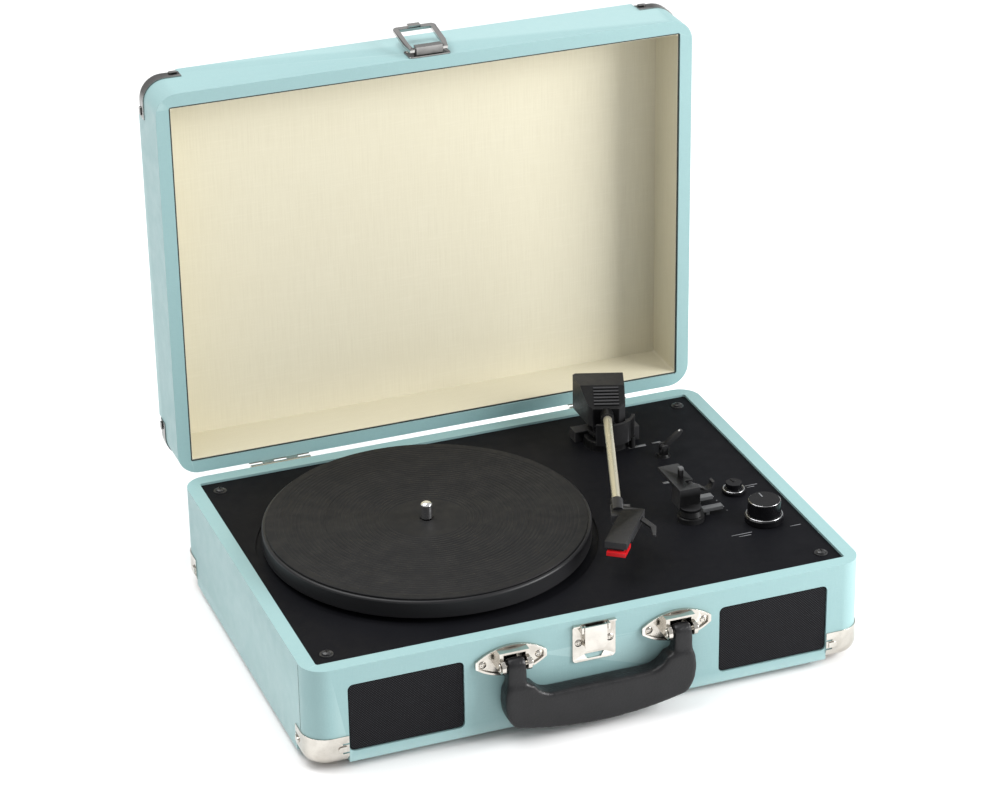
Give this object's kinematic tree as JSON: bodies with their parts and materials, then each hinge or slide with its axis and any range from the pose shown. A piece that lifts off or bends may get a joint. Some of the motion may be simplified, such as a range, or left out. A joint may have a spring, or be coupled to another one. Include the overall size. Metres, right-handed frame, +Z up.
{
  "type": "suitcase record player",
  "caption": "Portable belt-drive record player in a latched suitcase with an open hinged lid, carry handle, front speakers, tonearm and deck controls.",
  "frame": {"origin": "on the table under the middle of the open object's bounding box", "axes": "+X to the right of the front, +Y towards the hinges, +Z up"},
  "size_m": [0.353, 0.3174, 0.3342],
  "materials": {
    "leatherette": "satin textured",
    "board": "raw fibreboard",
    "foot_rubber": "matt",
    "nickel": "polished nickel",
    "dark_chrome": "polished black nickel",
    "grille_cloth": "woven",
    "driver_metal": "satin",
    "deck_black": "fine texture",
    "black_screw": "black oxide",
    "handle_plastic": "soft moulded grain",
    "lining": "woven cream paper",
    "brass": "polished",
    "bright_steel": "polished",
    "platter_plastic": "satin",
    "mat_rubber": "ribbed",
    "belt_rubber": "matt",
    "arm_plastic": "satin moulded",
    "champagne": "brushed anodised",
    "stylus_red": "gloss",
    "knob_gloss": "gloss",
    "slider_grey": "satin",
    "board_green": "solder mask"
  },
  "bodies": {
    "case": {"base_shell": "leatherette", "floor_panel": "board", "rubber_feet": "foot_rubber", "base_corner_caps": "nickel", "speaker_grille_left": "grille_cloth", "speaker_grille_right": "grille_cloth", "speaker_drivers": "driver_metal", "deck_plate": "deck_black", "deck_screws": "black_screw", "case_screws": "nickel", "latch_plate": "nickel", "handle_plate_left": "nickel", "handle_plate_right": "nickel", "handle_pins": "nickel", "hinge_base_leaves": "nickel", "hinge_pins": "nickel", "platter_bearing": "brass", "motor": "driver_metal", "drive_belt": "belt_rubber", "tonearm_base": "arm_plastic", "arm_rest_post": "arm_plastic", "cue_lever_bush": "arm_plastic", "volume_pot": "driver_metal", "function_switch": "driver_metal", "slide_switches": "driver_metal", "main_board": "board_green", "rear_jack_plate": "arm_plastic", "dc_jack": "arm_plastic", "rca_sockets": "brass", "headphone_jack": "arm_plastic"},
    "lid": {"lid_shell": "leatherette", "lid_lining": "lining", "lid_corner_caps": "dark_chrome", "lid_screws": "nickel", "hasp_bracket": "dark_chrome", "hinge_lid_leaves": "nickel"},
    "hasp": {"hasp_loop": "dark_chrome"},
    "tongue": {"latch_tongue": "nickel"},
    "carry_handle": {"handle": "handle_plastic"},
    "turntable": {"platter": "platter_plastic", "platter_mat": "mat_rubber", "spindle": "bright_steel"},
    "pulley": {"motor_pulley": "brass"},
    "arm_turret": {"tonearm_yoke": "arm_plastic"},
    "arm": {"tonearm_housing": "arm_plastic", "counterweight": "driver_metal", "arm_pivot_pins": "bright_steel", "tonearm_tube": "champagne", "headshell": "arm_plastic", "finger_lift": "arm_plastic", "cartridge": "arm_plastic", "stylus": "stylus_red"},
    "lever": {"cue_lever": "arm_plastic"},
    "lift": {"cue_lift_arc": "arm_plastic"},
    "clip": {"arm_clip": "arm_plastic"},
    "volume": {"volume_knob": "knob_gloss"},
    "function": {"function_knob": "knob_gloss"},
    "speed": {"speed_slider": "slider_grey"},
    "autostop": {"autostop_slider": "slider_grey"}
  },
  "joints": [
    {"name": "lid_hinge", "type": "hinge", "parent": "case", "child": "lid", "pos_m": [0, 0.11405, 0.0653], "axis": [-1, 0, 0], "range_deg": [-90, 0]},
    {"name": "hasp_swing", "type": "hinge", "parent": "lid", "child": "hasp", "pos_m": [0, 0.12155, 0.3271], "axis": [-1, 0, 0], "range_deg": [-171, 0]},
    {"name": "tongue_flick", "type": "hinge", "parent": "case", "child": "tongue", "pos_m": [0, -0.14635, 0.0622], "axis": [-1, 0, 0], "range_deg": [0, 10], "stiffness_Nm_per_rad": 0.02},
    {"name": "handle_swing", "type": "hinge", "parent": "case", "child": "carry_handle", "pos_m": [0, -0.15225, 0.052], "axis": [-1, 0, 0], "range_deg": [0, 95]},
    {"name": "platter_spin", "type": "hinge", "parent": "case", "child": "turntable", "pos_m": [-0.057, -0.01725, 0.08], "axis": [0, 0, -1], "continuous": true},
    {"name": "pulley_spin", "type": "hinge", "parent": "case", "child": "pulley", "pos_m": [-0.11498, 0.04073, 0.072], "axis": [0, 0, -1], "continuous": true},
    {"name": "arm_swing", "type": "hinge", "parent": "case", "child": "arm_turret", "pos_m": [0.093, 0.06075, 0.076], "axis": [0, 0, -1], "range_deg": [-22.1, 23]},
    {"name": "arm_lift", "type": "hinge", "parent": "arm_turret", "child": "arm", "pos_m": [0.093, 0.06075, 0.09], "axis": [-0.9415, 0.3371, 0], "range_deg": [0, 12]},
    {"name": "cue_lever_tilt", "type": "hinge", "parent": "case", "child": "lever", "pos_m": [0.119, 0.02875, 0.073], "axis": [0, -1, 0], "range_deg": [-38, 0]},
    {"name": "cue_lift_slide", "type": "slide", "parent": "case", "child": "lift", "axis": [0, 0, 1], "range_m": [-0.004, 0]},
    {"name": "clip_swing", "type": "hinge", "parent": "case", "child": "clip", "pos_m": [0.1055, -0.04525, 0.0844], "axis": [0, 1, 0], "range_deg": [-147, 0]},
    {"name": "volume_turn", "type": "hinge", "parent": "case", "child": "volume", "pos_m": [0.142, -0.07275, 0.075], "axis": [0, 0, -1], "range_deg": [0, 300]},
    {"name": "function_turn", "type": "hinge", "parent": "case", "child": "function", "pos_m": [0.14, -0.03265, 0.072], "axis": [0, 0, -1], "range_deg": [-30, 30]},
    {"name": "speed_slide", "type": "slide", "parent": "case", "child": "speed", "axis": [0, 1, 0], "range_m": [0, 0.008]},
    {"name": "autostop_slide", "type": "slide", "parent": "case", "child": "autostop", "axis": [0, 1, 0], "range_m": [0, 0.005]}
  ],
  "couplings": [
    {"joint": "pulley_spin", "follows": "platter_spin", "ratio": 13},
    {"joint": "cue_lever_tilt", "follows": "cue_lift_slide", "rad_per_m": 165}
  ]
}
